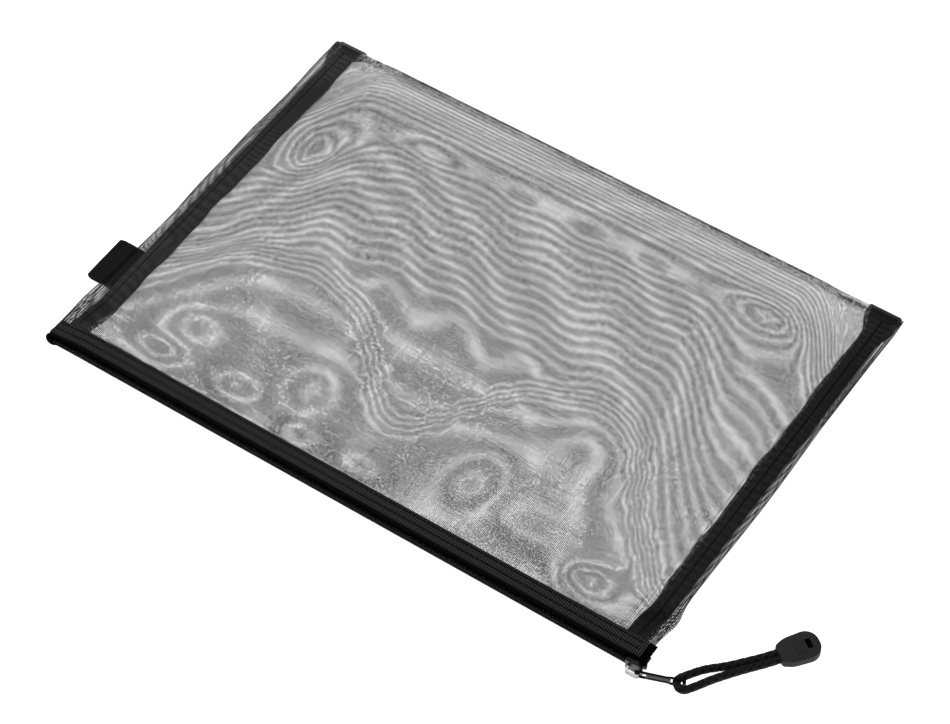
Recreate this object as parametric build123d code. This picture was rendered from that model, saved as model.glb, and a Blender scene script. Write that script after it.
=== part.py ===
from build123d import *
import os
from math import cos, pi, radians, sin, tan

# Zipped mesh wallet for A4 papers, in millimetres. X runs along the zip, -Y is the zip's face,
# +Y the back fold, +Z up. The origin is under the middle of the wallet, on the surface it lies on.

# Mesh body
wallet_width = 340.0        # side to side, along the zip
wallet_depth = 240.0        # zip face to back fold
face_height = 12.4          # height of the zip's face
crown_height = 12.2         # top of the filled-out upper panel, in the middle
crown_front_drop = 1.0      # crown down to the panel's front shoulder
crown_back_drop = 2.0       # crown down to the panel's back shoulder
shoulder_height = 10.2      # top of the upper panel where it starts to fall to the sides
side_height = 3.6           # thickness of the flattened side seams and of the back fold
shoulder_inset = 44.0       # from a side edge to the shoulder
shoulder_run = 32.0         # from the zip's face, or from the back fold, to the shoulder
mesh_thickness = 0.4
side_roll = 1.4             # mesh rolled over at each side seam
roll_bevel = 0.9            # how far that roll draws in, above and below
mouth_setback = 2.5         # zip face to the mesh's front edges, under the tapes
mouth_overrun = 5.0         # hollow's run past those edges, which leaves the mouth open
tape_margin = 1.5           # tape's inner edge to where the mesh leaves the tape's level
floor_ramp = 2.0            # run of the lower panel from the tape down to the table
panel_bulge = 0.5           # least bow of the upper panel between its shoulders
edge_fall = 0.01            # fall of the flattened panel from its shoulders to the fold

# Side seams
allowance_width = 12.0      # raw edges of both panels, turned inwards
binding_width = 13.2
binding_thickness = 0.5
seam_clearance = 0.05       # between cloth layers that lie on each other
seam_height = 1.7           # middle of the seam above the table, along the flat stretch
seam_slope = 0.22           # climb of the seam in front of the panel's shoulder
seam_front_gap = 13.0       # zip face to the seam's front end
seam_back_gap = 4.0         # back fold to the seam's back end
thread_width = 0.55
thread_height = 0.2
thread_end_gap = 1.0        # end of the cloth to the end of a row of stitches
seam_thread_inset = 6.0     # side edge to the seam's row of stitches

# Zip
tape_thickness = 0.6
tape_curl = 2.2             # outer radius where a tape turns from the panel to the face
tape_run = 11.0             # width of tape that lies on the panel
tape_edge_gap = 1.3         # zip centre line to each tape's edge
tape_overhang = 4.0         # tapes past the right side edge, beyond the closed slider
topstitch_rows = (1.5, 6.8) # from a tape's inner edge
coil_pitch = 1.27
coil_half_width = 2.3       # zip centre line to the sewn side of the coil
coil_spine_edge = 0.95       # zip centre line to where the teeth start
coil_overlap = 0.42         # how far a tooth reaches past the centre line
coil_thickness = 1.8
tooth_head = 0.56
tooth_neck = 0.4
coil_start_gap = 5.0        # left side edge to the first tooth

# Slider
slider_length = 9.0
slider_end_overhang = 3.4   # slider's front end past the right side edge
slider_half_width = 3.8
slider_throat_half_width = 3.2
back_half_width = 3.4
back_throat_half_width = 3.0
throat_length = 3.0         # straight stretch of the plates' sides
shoulder_end = 6.4          # slider's rear end to its widest place
plate_corner = 1.4
plate_thickness = 0.9
back_plate_thickness = 0.8
flange_thickness = 0.6
running_gap = 0.3           # slider to tape and coil
wedge_start = 4.0           # slider's rear end to the wedge's point
wedge_length = 4.2
wedge_taper = 1.8
bridge_width = 2.2
bridge_wall = 1.0
bridge_start = 1.3          # slider's rear end to the bridge's foot
bridge_lean = 1.0           # how far each end of the bridge leans in
bridge_corner = 0.55        # bevel inside the bridge, over the pull's pin
metal_round = 0.25

# Pull tab
pin_radius = 0.6            # end of the tab that turns in the bridge
pin_gap = 0.35
pin_height = 4.8            # pin axis, out from the face of the tape
pin_setback = 2.1           # pin axis to the slider's front end
tab_angle = 20.0            # from +X towards the wallet's back
tab_length = 22.2           # pin axis to the middle of the end bar
tab_thickness = 1.0
tab_panel_thickness = 0.5
tab_half_height = 2.2
near_eye_length = 4.2
near_eye_half = 1.5
near_eye_wall = 0.8
near_eye_taper = 1.0
far_eye_length = 5.4
far_eye_half = 2.05
far_eye_wall = 0.75
far_eye_taper = 1.5
far_eye_corner = 0.6
end_bar = 1.7               # round bar that the cord loops over

# Cord and its moulded end
cord_diameter = 3.4
cord_heading = 55.1         # from +X towards the wallet's back
cord_end_length = 20.0
cord_end_mouth_half = 4.9
cord_end_shoulder = 5.0     # mouth to where the bell reaches its width
cord_end_shoulder_half = 6.9
cord_end_shoulder_round = 5.0
cord_end_half_width = 7.6   # at the far end, before its corners are rounded
cord_end_round = 6.4
cord_end_thickness = 4.8
cord_end_bevel = 1.4
cord_mouth_distance = 46.2  # tab's end bar to the cord end's mouth
socket_depth = 3.0
socket_gap = 0.3
strand_offset = 1.75        # middle of each strand beside the cord's middle, at the mouth
cord_loop_half = 3.35       # tab's end bar to the middle of the cord looped round it
bend_share = 0.45           # share of each straight of the cord that a bend takes
window_size = (2.6, 5.2)
window_depth = 1.6
window_place = 14.8         # mouth to the window's middle
ridge_count = 3
ridge_pitch = 1.8
ridge_width = 0.6
ridge_length = 8.0
ridge_height = 0.3
ridge_place = 10.4           # mouth to the middle ridge

# Side loop
loop_width = 25.0
loop_reach = 8.5            # out of the side seam
loop_setback = 56.0         # zip face to the loop's middle
loop_thickness = 0.75
loop_bend = 1.0             # half thickness of the two layers
loop_fold_round = 0.98      # outer radius of the folded end
loop_tail = 9.0             # caught in the seam
loop_tail_thickness = 0.8

# Places that several pieces share
side_x = wallet_width / 2
face_y = -wallet_depth / 2
fold_y = wallet_depth / 2
zip_z = face_height / 2
lip_top = face_height - tape_thickness
inner_x = side_x - side_roll
mouth_y = face_y + mouth_setback
tape_inner_y = face_y + tape_run
allowance_half = mesh_thickness
slider_rear_x = side_x + slider_end_overhang - slider_length
coil_end_x = slider_rear_x + wedge_start - running_gap
pin_x = side_x + slider_end_overhang - pin_setback
pin_y = face_y - pin_height
loop_y = face_y + loop_setback


def panel_section(x, inset, front_y, front_top, middle_top, back_top):
    """Closed outline of the wallet across the zip at x, drawn in by inset from the outer skin."""
    fold_radius = side_height / 2 - inset
    fold_middle = fold_y - side_height / 2
    diagonal = fold_radius * cos(radians(45))
    lip = lip_top - inset
    floor = inset
    front_shoulder = face_y + shoulder_run
    back_shoulder = fold_y - shoulder_run
    tape_step = tape_inner_y + tape_margin
    top_start = Vector(x, front_shoulder, front_top - inset)
    top_end = Vector(x, back_shoulder, back_top - inset)
    top_middle = Vector(x, 0, middle_top - inset)
    upper = Vector(x, fold_middle, side_height - inset)
    back = Vector(x, fold_middle + fold_radius, side_height / 2)
    lower = Vector(x, fold_middle, floor)
    upper_mid = Vector(x, fold_middle + diagonal, side_height / 2 + diagonal)
    lower_mid = Vector(x, fold_middle + diagonal, side_height / 2 - diagonal)
    edges = [
        Line((x, front_y, lip), (x, tape_step, lip)),
        Line((x, tape_step, lip), top_start),
        ThreePointArc(top_start, top_middle, top_end),
        Line(top_end, upper),
        ThreePointArc(upper, upper_mid, back),
        ThreePointArc(back, lower_mid, lower),
        Line(lower, (x, tape_step + floor_ramp, floor)),
        Line((x, tape_step + floor_ramp, floor), (x, tape_step, floor + tape_thickness)),
        Line((x, tape_step, floor + tape_thickness), (x, front_y, floor + tape_thickness)),
        Line((x, front_y, floor + tape_thickness), (x, front_y, lip)),
    ]
    return Face(Wire(edges))


def panel_stations(edge_x):
    """Places along the zip with the upper panel's heights there: front, middle and back."""
    edge_top = side_height + edge_fall
    flat = (edge_top, side_height + panel_bulge, edge_top)
    risen = (shoulder_height, shoulder_height + panel_bulge, shoulder_height)
    full = (crown_height - crown_front_drop, crown_height, crown_height - crown_back_drop)
    band_x = side_x - binding_width - side_roll
    rest = ((-band_x, flat), (-side_x + shoulder_inset, risen), (0.0, full))
    mirrored = ((side_x - shoulder_inset, risen), (band_x, flat))
    return ((-edge_x, flat),) + rest + mirrored + ((edge_x, flat),)


def seam_path(back_y, front_y):
    """Middle line of a side seam: flat from the back, then climbing towards the zip's middle."""
    climb_y = face_y + shoulder_run
    front_z = seam_height + seam_slope * (climb_y - front_y)
    return ((back_y, seam_height), (climb_y, seam_height), (front_y, front_z))


def seam_strip(x_from, x_to, z_low, z_high, back_y, front_y):
    """Strip of cloth along a side seam, between two heights above the seam's middle line."""
    path = seam_path(back_y, front_y)
    low = [(y, z + z_low) for y, z in path]
    high = [(y, z + z_high) for y, z in reversed(path)]
    outline = Polyline(*[(x_from, y, z) for y, z in low + high], close=True)
    return extrude(Face(Wire(outline.edges())), amount=x_to - x_from, dir=(1, 0, 0))


seam_back_y = fold_y - seam_back_gap
seam_front_y = face_y + seam_front_gap
loop_tail_box = Pos(-side_x + loop_tail / 2, loop_y, seam_height) * Box(
    loop_tail + 2 * seam_clearance,
    loop_width + 2 * seam_clearance,
    loop_tail_thickness + 2 * seam_clearance,
)


def make_mesh_body():
    """One folded sheet: both panels, the back fold, the side rolls and the seam allowances."""
    outer = [panel_section(-side_x, roll_bevel, mouth_y, *panel_stations(side_x)[0][1])]
    outer += [panel_section(x, 0, mouth_y, *tops) for x, tops in panel_stations(inner_x)]
    outer += [panel_section(side_x, roll_bevel, mouth_y, *panel_stations(side_x)[-1][1])]
    hollow_front = mouth_y - mouth_overrun
    stations = panel_stations(inner_x)
    inner = [panel_section(x, mesh_thickness, hollow_front, *tops) for x, tops in stations]
    body = loft(outer, ruled=True) - loft(inner, ruled=True)
    for side in (-1, 1):
        x_out = side * (inner_x + side_roll / 2)
        x_in = side * (inner_x - allowance_width)
        body += seam_strip(
            min(x_out, x_in), max(x_out, x_in), -allowance_half, allowance_half,
            seam_back_y, seam_front_y,
        )
    return body - loop_tail_box


def make_seam_binding(side):
    """Tape folded over the seam's raw edges: two legs and the fold at the inner edge."""
    near = allowance_half + seam_clearance
    far = near + binding_thickness
    x_out = side * (inner_x - seam_clearance)
    x_in = side * (inner_x - binding_width)
    x_fold = side * (inner_x - binding_width + binding_thickness)
    span = (min(x_out, x_in), max(x_out, x_in))
    edge = (min(x_fold, x_in), max(x_fold, x_in))
    binding = seam_strip(*span, near, far, seam_back_y, seam_front_y)
    binding += seam_strip(*span, -far, -near, seam_back_y, seam_front_y)
    return binding + seam_strip(*edge, -far, far, seam_back_y, seam_front_y)


def make_seam_stitching(side):
    """Needle thread on the binding's upper leg and bobbin thread under its lower leg."""
    near = allowance_half + seam_clearance + binding_thickness
    far = near + thread_height
    row_x = side * (side_x - seam_thread_inset)
    span = (row_x - thread_width / 2, row_x + thread_width / 2)
    ends = (seam_back_y - thread_end_gap, seam_front_y + thread_end_gap)
    upper = seam_strip(*span, near, far, *ends)
    lower = seam_strip(*span, -far, -near, *ends)
    return Compound(children=[upper, lower])


def flip_over(y, z, lower):
    """A point of the upper tape, or its mirror image on the lower one."""
    return (-inner_x, y, face_height - z if lower else z)


def make_zip_tape(lower):
    """Half of the zip's tape: flat on the panel, curled over the edge, down to the chain."""
    bend_y = face_y + tape_curl
    bend_z = face_height - tape_curl
    edge_z = zip_z + tape_edge_gap
    skin = tape_thickness
    outer_half = tape_curl * sin(radians(45))
    inner_half = (tape_curl - skin) * sin(radians(45))
    outer_mid = (bend_y - outer_half, bend_z + outer_half)
    inner_mid = (bend_y - inner_half, bend_z + inner_half)
    outer = [(tape_inner_y, face_height), (bend_y, face_height), outer_mid]
    outer += [(face_y, bend_z), (face_y, edge_z)]
    inner = [(face_y + skin, edge_z), (face_y + skin, bend_z), inner_mid]
    inner += [(bend_y, lip_top), (tape_inner_y, lip_top)]
    o = [flip_over(y, z, lower) for y, z in outer]
    i = [flip_over(y, z, lower) for y, z in inner]
    edges = [
        Line(o[0], o[1]),
        ThreePointArc(o[1], o[2], o[3]),
        Line(o[3], o[4]),
        Line(o[4], i[0]),
        Line(i[0], i[1]),
        ThreePointArc(i[1], i[2], i[3]),
        Line(i[3], i[4]),
        Line(i[4], o[0]),
    ]
    length = inner_x + side_x + tape_overhang
    return extrude(Face(Wire(edges)), amount=length, dir=(1, 0, 0))


def make_topstitch(lower):
    """Two rows of thread: on the upper tape, or inside on the mesh over the lower tape."""
    z_low = tape_thickness + mesh_thickness if lower else face_height
    rows = []
    for row in topstitch_rows:
        thread = Box(2 * (inner_x - thread_end_gap), thread_width, thread_height)
        rows.append(Pos(0, tape_inner_y - row, z_low + thread_height / 2) * thread)
    return Compound(children=rows)


def make_zip_coil(lower):
    """Half of the chain: a spine along the tape and a tooth at every pitch, wider at its head."""
    sign = -1 if lower else 1
    first = -side_x + coil_start_gap + (coil_pitch / 2 if lower else 0)
    count = int((coil_end_x - first - tooth_head / 2) / coil_pitch)
    points = [(-side_x + coil_start_gap - coil_pitch, coil_half_width)]
    points.append((-side_x + coil_start_gap - coil_pitch, coil_spine_edge))
    for tooth in range(count):
        x = first + tooth * coil_pitch
        points.append((x - tooth_neck / 2, coil_spine_edge))
        points.append((x - tooth_head / 2, -coil_overlap))
        points.append((x + tooth_head / 2, -coil_overlap))
        points.append((x + tooth_neck / 2, coil_spine_edge))
    points.append((coil_end_x, coil_spine_edge))
    points.append((coil_end_x, coil_half_width))
    outline = Polyline(*[(x, face_y, zip_z + sign * z) for x, z in points], close=True)
    return extrude(Face(Wire(outline.edges())), amount=coil_thickness, dir=(0, -1, 0))


slider_plane = Plane(origin=(slider_rear_x, face_y, zip_z), x_dir=(1, 0, 0), z_dir=(0, -1, 0))
bridge_plane = Plane(origin=(slider_rear_x, face_y, zip_z), x_dir=(1, 0, 0), z_dir=(0, 0, -1))
plate_low = coil_thickness + running_gap
plate_top = plate_low + plate_thickness


def slider_plate(throat_half, front_half, low, thickness):
    """A slider plate: narrow at the throat, with shoulders where the two coils part."""
    upper = [(0, throat_half), (throat_length, throat_half), (shoulder_end, front_half)]
    upper.append((slider_length, front_half))
    lower = [(x, -y) for x, y in reversed(upper)]
    outline = make_face(Polyline(*upper, *lower, close=True))
    outline = fillet(outline.vertices().sort_by(Axis.X)[-2:], plate_corner)
    return Pos(0, 0, low) * extrude(outline, thickness)


def slider_flange(side):
    """Wall on one side of the front plate, which keeps the coils together."""
    outer = [(0, slider_throat_half_width), (throat_length, slider_throat_half_width)]
    outer.append((shoulder_end, slider_half_width))
    inner = [(x, y - flange_thickness) for x, y in reversed(outer)]
    outline = make_face(Polyline(*[(x, side * y) for x, y in outer + inner], close=True))
    return Pos(0, 0, running_gap) * extrude(outline, plate_low - running_gap)


def make_slider():
    """Die-cast slider: front plate with flanges, wedge, back plate, and the bridge for the pull."""
    front = slider_plate(slider_throat_half_width, slider_half_width, plate_low, plate_thickness)
    front = fillet(front.faces().sort_by(Axis.Z)[-1].edges(), metal_round)
    back_low = -tape_thickness - running_gap - back_plate_thickness
    back = slider_plate(back_throat_half_width, back_half_width, back_low, back_plate_thickness)
    wedge_half = tape_edge_gap - running_gap
    tip = wedge_start + wedge_length
    wedge_outline = make_face(
        Polyline(
            (wedge_start, 0), (wedge_start + wedge_taper, wedge_half), (tip, wedge_half),
            (tip, -wedge_half), (wedge_start + wedge_taper, -wedge_half), close=True,
        )
    )
    wedge_base = -tape_thickness - running_gap
    wedge = Pos(0, 0, wedge_base) * extrude(wedge_outline, plate_low - wedge_base)
    body = front + back + wedge + slider_flange(1) + slider_flange(-1)

    pin_place = slider_length - pin_setback
    reach = pin_radius + pin_gap
    room_end = pin_place + reach
    roof = pin_height + reach
    foot = plate_top - metal_round
    inner_outline = make_face(
        Polyline(
            (bridge_start + bridge_wall, foot), (bridge_start + bridge_wall + bridge_lean, roof),
            (room_end - bridge_corner, roof), (room_end, roof - bridge_corner), (room_end, foot),
            close=True,
        )
    )
    outer_end = room_end + bridge_wall
    outer_outline = make_face(
        Polyline(
            (bridge_start, foot), (bridge_start + bridge_lean, roof + bridge_wall),
            (outer_end - bridge_lean, roof + bridge_wall),
            (outer_end, roof + bridge_wall - bridge_lean), (outer_end, foot), close=True,
        )
    )
    arch = extrude(outer_outline - inner_outline, bridge_width / 2, both=True)
    return slider_plane * body + bridge_plane * arch


tab_along = Vector(cos(radians(tab_angle)), sin(radians(tab_angle)), 0)
tab_plane = Plane(
    origin=(pin_x, pin_y, zip_z),
    x_dir=tab_along,
    z_dir=(sin(radians(tab_angle)), -cos(radians(tab_angle)), 0),
)


def make_pull_tab():
    """Slim metal tab: an eye round the bridge, a panel between two rails, an eye for the cord."""
    near_half = near_eye_half + near_eye_wall
    far_half = far_eye_half + far_eye_wall
    eye_end = pin_radius + near_eye_length
    hole_end = tab_length - end_bar / 2
    hole_start = hole_end - far_eye_length
    upper = [
        (0, near_half), (eye_end - near_eye_taper, near_half), (eye_end, tab_half_height),
        (hole_start - far_eye_taper, tab_half_height), (hole_start, far_half), (tab_length, far_half),
    ]
    lower = [(x, -y) for x, y in reversed(upper)]
    outline = make_face(Polyline(*upper, *lower, close=True))
    near_eye = Pos(eye_end / 2, 0) * Rectangle(eye_end, 2 * near_eye_half)
    far_eye = RectangleRounded(far_eye_length, 2 * far_eye_half, far_eye_corner)
    far_eye = Pos((hole_start + hole_end) / 2, 0) * far_eye
    plate = extrude(outline - near_eye - far_eye, tab_thickness / 2, both=True)
    panel_length = hole_start - eye_end - 2 * near_eye_wall
    panel_height = 2 * (tab_half_height - near_eye_wall)
    recess = Pos((hole_start + eye_end) / 2, 0) * Rectangle(panel_length, panel_height)
    groove = (tab_thickness - tab_panel_thickness) / 2
    for side in (-1, 1):
        plate -= Pos(0, 0, side * (tab_thickness - groove) / 2) * extrude(recess, groove / 2, both=True)
    pin = Rot(90, 0, 0) * Cylinder(pin_radius, 2 * near_half)
    bar = Pos(tab_length, 0, 0) * Rot(90, 0, 0) * Cylinder(end_bar / 2, 2 * far_half)
    return tab_plane * (plate + pin + bar)


cord_along = Vector(cos(radians(cord_heading)), sin(radians(cord_heading)), 0)
cord_origin = Vector(pin_x, pin_y, 0) + tab_along * tab_length
cord_plane = Plane(origin=cord_origin, x_dir=cord_along, z_dir=(0, 0, 1))
grip_middle = cord_end_thickness / 2

# Both strands from the moulded end to the tab's end bar: along the cord, half the gap between
# their middles, how far the pair bows towards the wallet, and up.
cord_lay = [
    (cord_mouth_distance + socket_depth, strand_offset, 0.0, grip_middle),
    (40.5, strand_offset, 0.0, grip_middle),
    (31.0, 1.85, 1.1, 2.05),
    (22.0, 2.10, 1.7, 2.10),
    (12.5, 3.10, 1.8, 3.85),
    (5.0, 3.45, 0.6, 5.45),
    (-cord_loop_half, cord_loop_half, 0.0, zip_z),
]


def make_pull_cord():
    """Braided cord: out of the moulded end, round the tab's end bar and back."""
    strand = [(a, bow + half, z) for a, half, bow, z in cord_lay]
    back = [(a, bow - half, z) for a, half, bow, z in reversed(cord_lay)]
    points = [cord_plane.from_local_coords(Vector(*p)) for p in strand + back]
    radii = []
    for before, here, after in zip(points, points[1:], points[2:]):
        first, second = here - before, after - here
        turn = first.get_angle(second)
        straight = bend_share * min(first.length, second.length)
        radii.append(straight / tan(radians(turn) / 2))
    print("cord radii", [round(r, 1) for r in radii])
    path = FilletPolyline(*points, radius=radii)
    profile = Plane(origin=path @ 0, z_dir=path % 0) * Circle(cord_diameter / 2)
    cord = sweep(profile, path=path)
    section = pi * (cord_diameter / 2) ** 2
    print("cord length", round(path.length, 1), "volume over section", round(cord.volume / section, 1))
    return cord


def make_cord_end():
    """Moulded end: a flat bell, bevelled all round, with a socket, a blind window and ridges."""
    shoulder = (cord_end_shoulder, cord_end_shoulder_half)
    upper = [(0, cord_end_mouth_half), shoulder, (cord_end_length, cord_end_half_width)]
    lower = [(x, -y) for x, y in reversed(upper)]
    outline = make_face(Polyline(*upper, *lower, close=True))
    outline = fillet(outline.vertices().sort_by(Axis.X)[-2:], cord_end_round)
    outline = fillet(outline.vertices().sort_by(Axis.X)[2:4], cord_end_shoulder_round)
    body = extrude(outline, cord_end_thickness)
    for flat in (0, -1):
        rim = body.faces().sort_by(Axis.Z)[flat].edges().sort_by(Axis.X)[1:]
        body = chamfer(rim, cord_end_bevel)
    for ridge in range(ridge_count):
        place = ridge_place + (ridge - (ridge_count - 1) / 2) * ridge_pitch
        body += Pos(place, 0, cord_end_thickness) * Box(ridge_width, ridge_length, 2 * ridge_height)
    body -= Pos(window_place, 0, cord_end_thickness) * Box(*window_size, 2 * window_depth)
    socket_height = cord_diameter + 2 * socket_gap
    socket_width = 2 * strand_offset + socket_height
    socket = Pos(0, 0, grip_middle) * Rot(0, 90, 0) * extrude(
        Rot(0, 0, 90) * SlotOverall(socket_width, socket_height), socket_depth
    )
    return cord_plane * Pos(cord_mouth_distance, 0, 0) * (body - socket)


def make_side_loop():
    """Webbing folded in two, its folded end out of the side seam and its tail inside it."""
    fold_x = -side_x - loop_reach
    gap = 2 * (loop_bend - loop_thickness)
    layers = Pos(fold_x + loop_reach / 2, 0) * Rectangle(loop_reach, 2 * loop_bend)
    layers = fillet(layers.vertices().sort_by(Axis.X)[:2], loop_fold_round)
    slot_length = loop_reach - loop_thickness - loop_bend
    slot = Pos(fold_x + loop_thickness + slot_length / 2, 0) * Rectangle(slot_length, gap)
    tail = Pos(-side_x + loop_tail / 2, 0) * Rectangle(loop_tail, loop_tail_thickness)
    profile = layers - slot + tail
    flat = Plane(origin=(0, loop_y, seam_height), x_dir=(1, 0, 0), z_dir=(0, -1, 0))
    return extrude(flat * profile, loop_width / 2, both=True)


nodes = {
    "mesh_body": make_mesh_body(),
    "left_seam_binding": make_seam_binding(-1),
    "right_seam_binding": make_seam_binding(1),
    "left_seam_stitching": make_seam_stitching(-1),
    "right_seam_stitching": make_seam_stitching(1),
    "zip_tape_upper": make_zip_tape(False),
    "zip_tape_lower": make_zip_tape(True),
    "zip_coil_upper": make_zip_coil(False),
    "zip_coil_lower": make_zip_coil(True),
    "zip_topstitch_upper": make_topstitch(False),
    "zip_topstitch_lower": make_topstitch(True),
    "side_loop": make_side_loop(),
    "slider_body": make_slider(),
    "pull_tab": make_pull_tab(),
    "pull_cord": make_pull_cord(),
    "cord_end": make_cord_end(),
}

os.makedirs("parts", exist_ok=True)
for name, solid in nodes.items():
    export_step(solid, f"parts/{name}.step")
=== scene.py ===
# %% [markdown]
# # A zipped mesh document wallet
# The wallet is two panels of fine open mesh, sewn together at the sides and closed by a zip along
# the front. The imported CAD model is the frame: it holds the true sizes and the moving parts, and
# every piece made here is laid on it, in metres, in the same place.

# %% Load the frame
import math

import bpy
import numpy as np
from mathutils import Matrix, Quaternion, Vector


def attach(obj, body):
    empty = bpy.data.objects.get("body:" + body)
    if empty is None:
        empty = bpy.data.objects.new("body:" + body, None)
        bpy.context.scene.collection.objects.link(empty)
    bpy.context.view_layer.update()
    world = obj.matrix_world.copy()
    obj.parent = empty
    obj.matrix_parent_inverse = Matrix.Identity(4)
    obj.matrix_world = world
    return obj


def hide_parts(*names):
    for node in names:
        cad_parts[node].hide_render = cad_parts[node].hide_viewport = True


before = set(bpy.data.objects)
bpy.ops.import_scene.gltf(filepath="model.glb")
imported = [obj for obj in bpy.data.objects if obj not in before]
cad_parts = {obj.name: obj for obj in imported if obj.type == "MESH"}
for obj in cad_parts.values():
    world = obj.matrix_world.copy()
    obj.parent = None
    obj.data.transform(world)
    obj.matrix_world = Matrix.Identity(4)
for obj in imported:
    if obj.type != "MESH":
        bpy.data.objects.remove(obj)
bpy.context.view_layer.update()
bpy.ops.object.select_all(action="DESELECT")
mm = 0.001

# %% [markdown]
# ## Camera, table and light
# The picture looks down at the wallet from its front right, from well back with a long lens, so
# that the far edge is hardly shorter than the near one. The table is a white light table: it glows
# a little, so the mesh shows pale where the table shines through it and dark where two layers of
# thread close the gaps. Two large soft lamps and a dim sky light it, because black cloth turns grey
# under a bright sky.

# %% Camera
azimuth, elevation, tilt = math.radians(35.46), math.radians(52.23), math.radians(-1.46)
distance = 1.552
target = Vector((0.00937, -0.01514, 0.0))
sensor_wide, picture_wide, focal_pixels = 36.0, 950, 3209
away = Vector((
    math.sin(azimuth) * math.cos(elevation),
    -math.cos(azimuth) * math.cos(elevation),
    math.sin(elevation),
))
bpy.ops.object.camera_add(location=target + away * distance)
camera = bpy.context.object
camera.rotation_euler = ((-away).to_track_quat("-Z", "Y") @ Quaternion((0, 0, 1), tilt)).to_euler()
camera.data.sensor_width = sensor_wide
camera.data.lens = sensor_wide * focal_pixels / picture_wide
bpy.context.scene.camera = camera
print("camera:", [round(v, 3) for v in camera.location], "lens", round(camera.data.lens, 1))

# %% Colours and nodes
def from_hex(text):
    """An sRGB hex colour as the linear colour that a shader takes."""
    values = [int(text[i:i + 2], 16) / 255 for i in (0, 2, 4)]
    linear = [v / 12.92 if v <= 0.04045 else ((v + 0.055) / 1.055) ** 2.4 for v in values]
    return (*linear, 1.0)


def add(tree, kind, inputs=None, **settings):
    """One node with its settings; a socket among the inputs is linked, and a value is set."""
    node = tree.nodes.new(kind)
    for name, value in settings.items():
        setattr(node, name, value)
    for name, value in (inputs or {}).items():
        if isinstance(value, bpy.types.NodeSocket):
            tree.links.new(value, node.inputs[name])
        else:
            node.inputs[name].default_value = value
    return node


def finish(name, **shader_values):
    """A new material with one shader; returns the material, its node tree and the shader."""
    material = bpy.data.materials.new(name)
    material.use_nodes = True
    tree = material.node_tree
    shader = tree.nodes["Principled BSDF"]
    for socket, value in shader_values.items():
        shader.inputs[socket.replace("_", " ")].default_value = value
    return material, tree, shader


def band_scale(pitch_mm):
    """Scale of a wave texture whose bands are that far apart."""
    return 0.1 * math.pi / (pitch_mm * mm)


print("white paper:", [round(v, 3) for v in from_hex("f7f7f5")])

# %% Table
# opal acrylic: an even white glow with hardly any change of tone
bpy.ops.mesh.primitive_plane_add(size=6.0, location=(0, 0, -0.00005))
table = bpy.context.object
table.name = "light_table"
opal, tree, shader = finish("opal acrylic", Roughness=0.6)
grain = add(tree, "ShaderNodeTexNoise", {"Scale": 3.0, "Detail": 2.0})
tone = add(tree, "ShaderNodeValToRGB", {"Fac": grain.outputs["Fac"]})
tone.color_ramp.elements[0].color = from_hex("f4f4f4")
tone.color_ramp.elements[1].color = from_hex("f8f8f8")
tree.links.new(tone.outputs["Color"], shader.inputs["Base Color"])
shader.inputs["Emission Color"].default_value = from_hex("ffffff")
shader.inputs["Emission Strength"].default_value = 1.0
table.data.materials.append(opal)
print("table:", table.name)

# %% Light
world = bpy.data.worlds.new("dim studio")
bpy.context.scene.world = world
world.use_nodes = True
world.node_tree.nodes["Background"].inputs["Color"].default_value = from_hex("fafaff")
world.node_tree.nodes["Background"].inputs["Strength"].default_value = 0.32


def soft_lamp(name, place, size, power):
    """A square lamp that points at the origin."""
    bpy.ops.object.light_add(type="AREA", location=place)
    lamp = bpy.context.object
    lamp.name = name
    lamp.rotation_euler = (-Vector(place)).to_track_quat("-Z", "Y").to_euler()
    lamp.data.size = size
    lamp.data.energy = power
    return lamp


soft_lamp("key_lamp", (-0.7, 0.5, 1.3), 1.0, 12.0)
soft_lamp("fill_lamp", (0.9, -0.9, 1.2), 1.2, 5.0)
bpy.context.scene.view_settings.view_transform = "Standard"

# %% [markdown]
# ## Finishes
# Almost everything is black, so the finishes differ by how they catch light: nylon thread carries
# painted glints in its colour, woven polyester tape is dull and shows its ribs, the coil is smooth
# moulded nylon, the slider is nickel plate, and the grip is matte plastic. Each pattern has a size
# in millimetres.

# %% Nylon mesh thread
# drawn nylon: black thread with painted glints, painted highlights in its colour that grain the
# cloth. Real glints are finer; these are as coarse as they need to be to show.
painted_glint_mm = 0.8
nylon, tree, shader = finish("nylon monofilament", Roughness=0.42, IOR=1.53, Specular_IOR_Level=0.1)
place = add(tree, "ShaderNodeTexCoord").outputs["Object"]
fine = {"Vector": place, "Scale": 1 / (painted_glint_mm * mm), "Detail": 1.0}
painted_glints = add(tree, "ShaderNodeTexNoise", fine)
tone = add(tree, "ShaderNodeValToRGB", {"Fac": painted_glints.outputs["Fac"]})
tone.color_ramp.elements[0].position = 0.52
tone.color_ramp.elements[0].color = from_hex("050505")
tone.color_ramp.elements[1].position = 0.61
tone.color_ramp.elements[1].color = from_hex("dedede")
parts = add(tree, "ShaderNodeSeparateXYZ", {"Vector": place})
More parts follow.
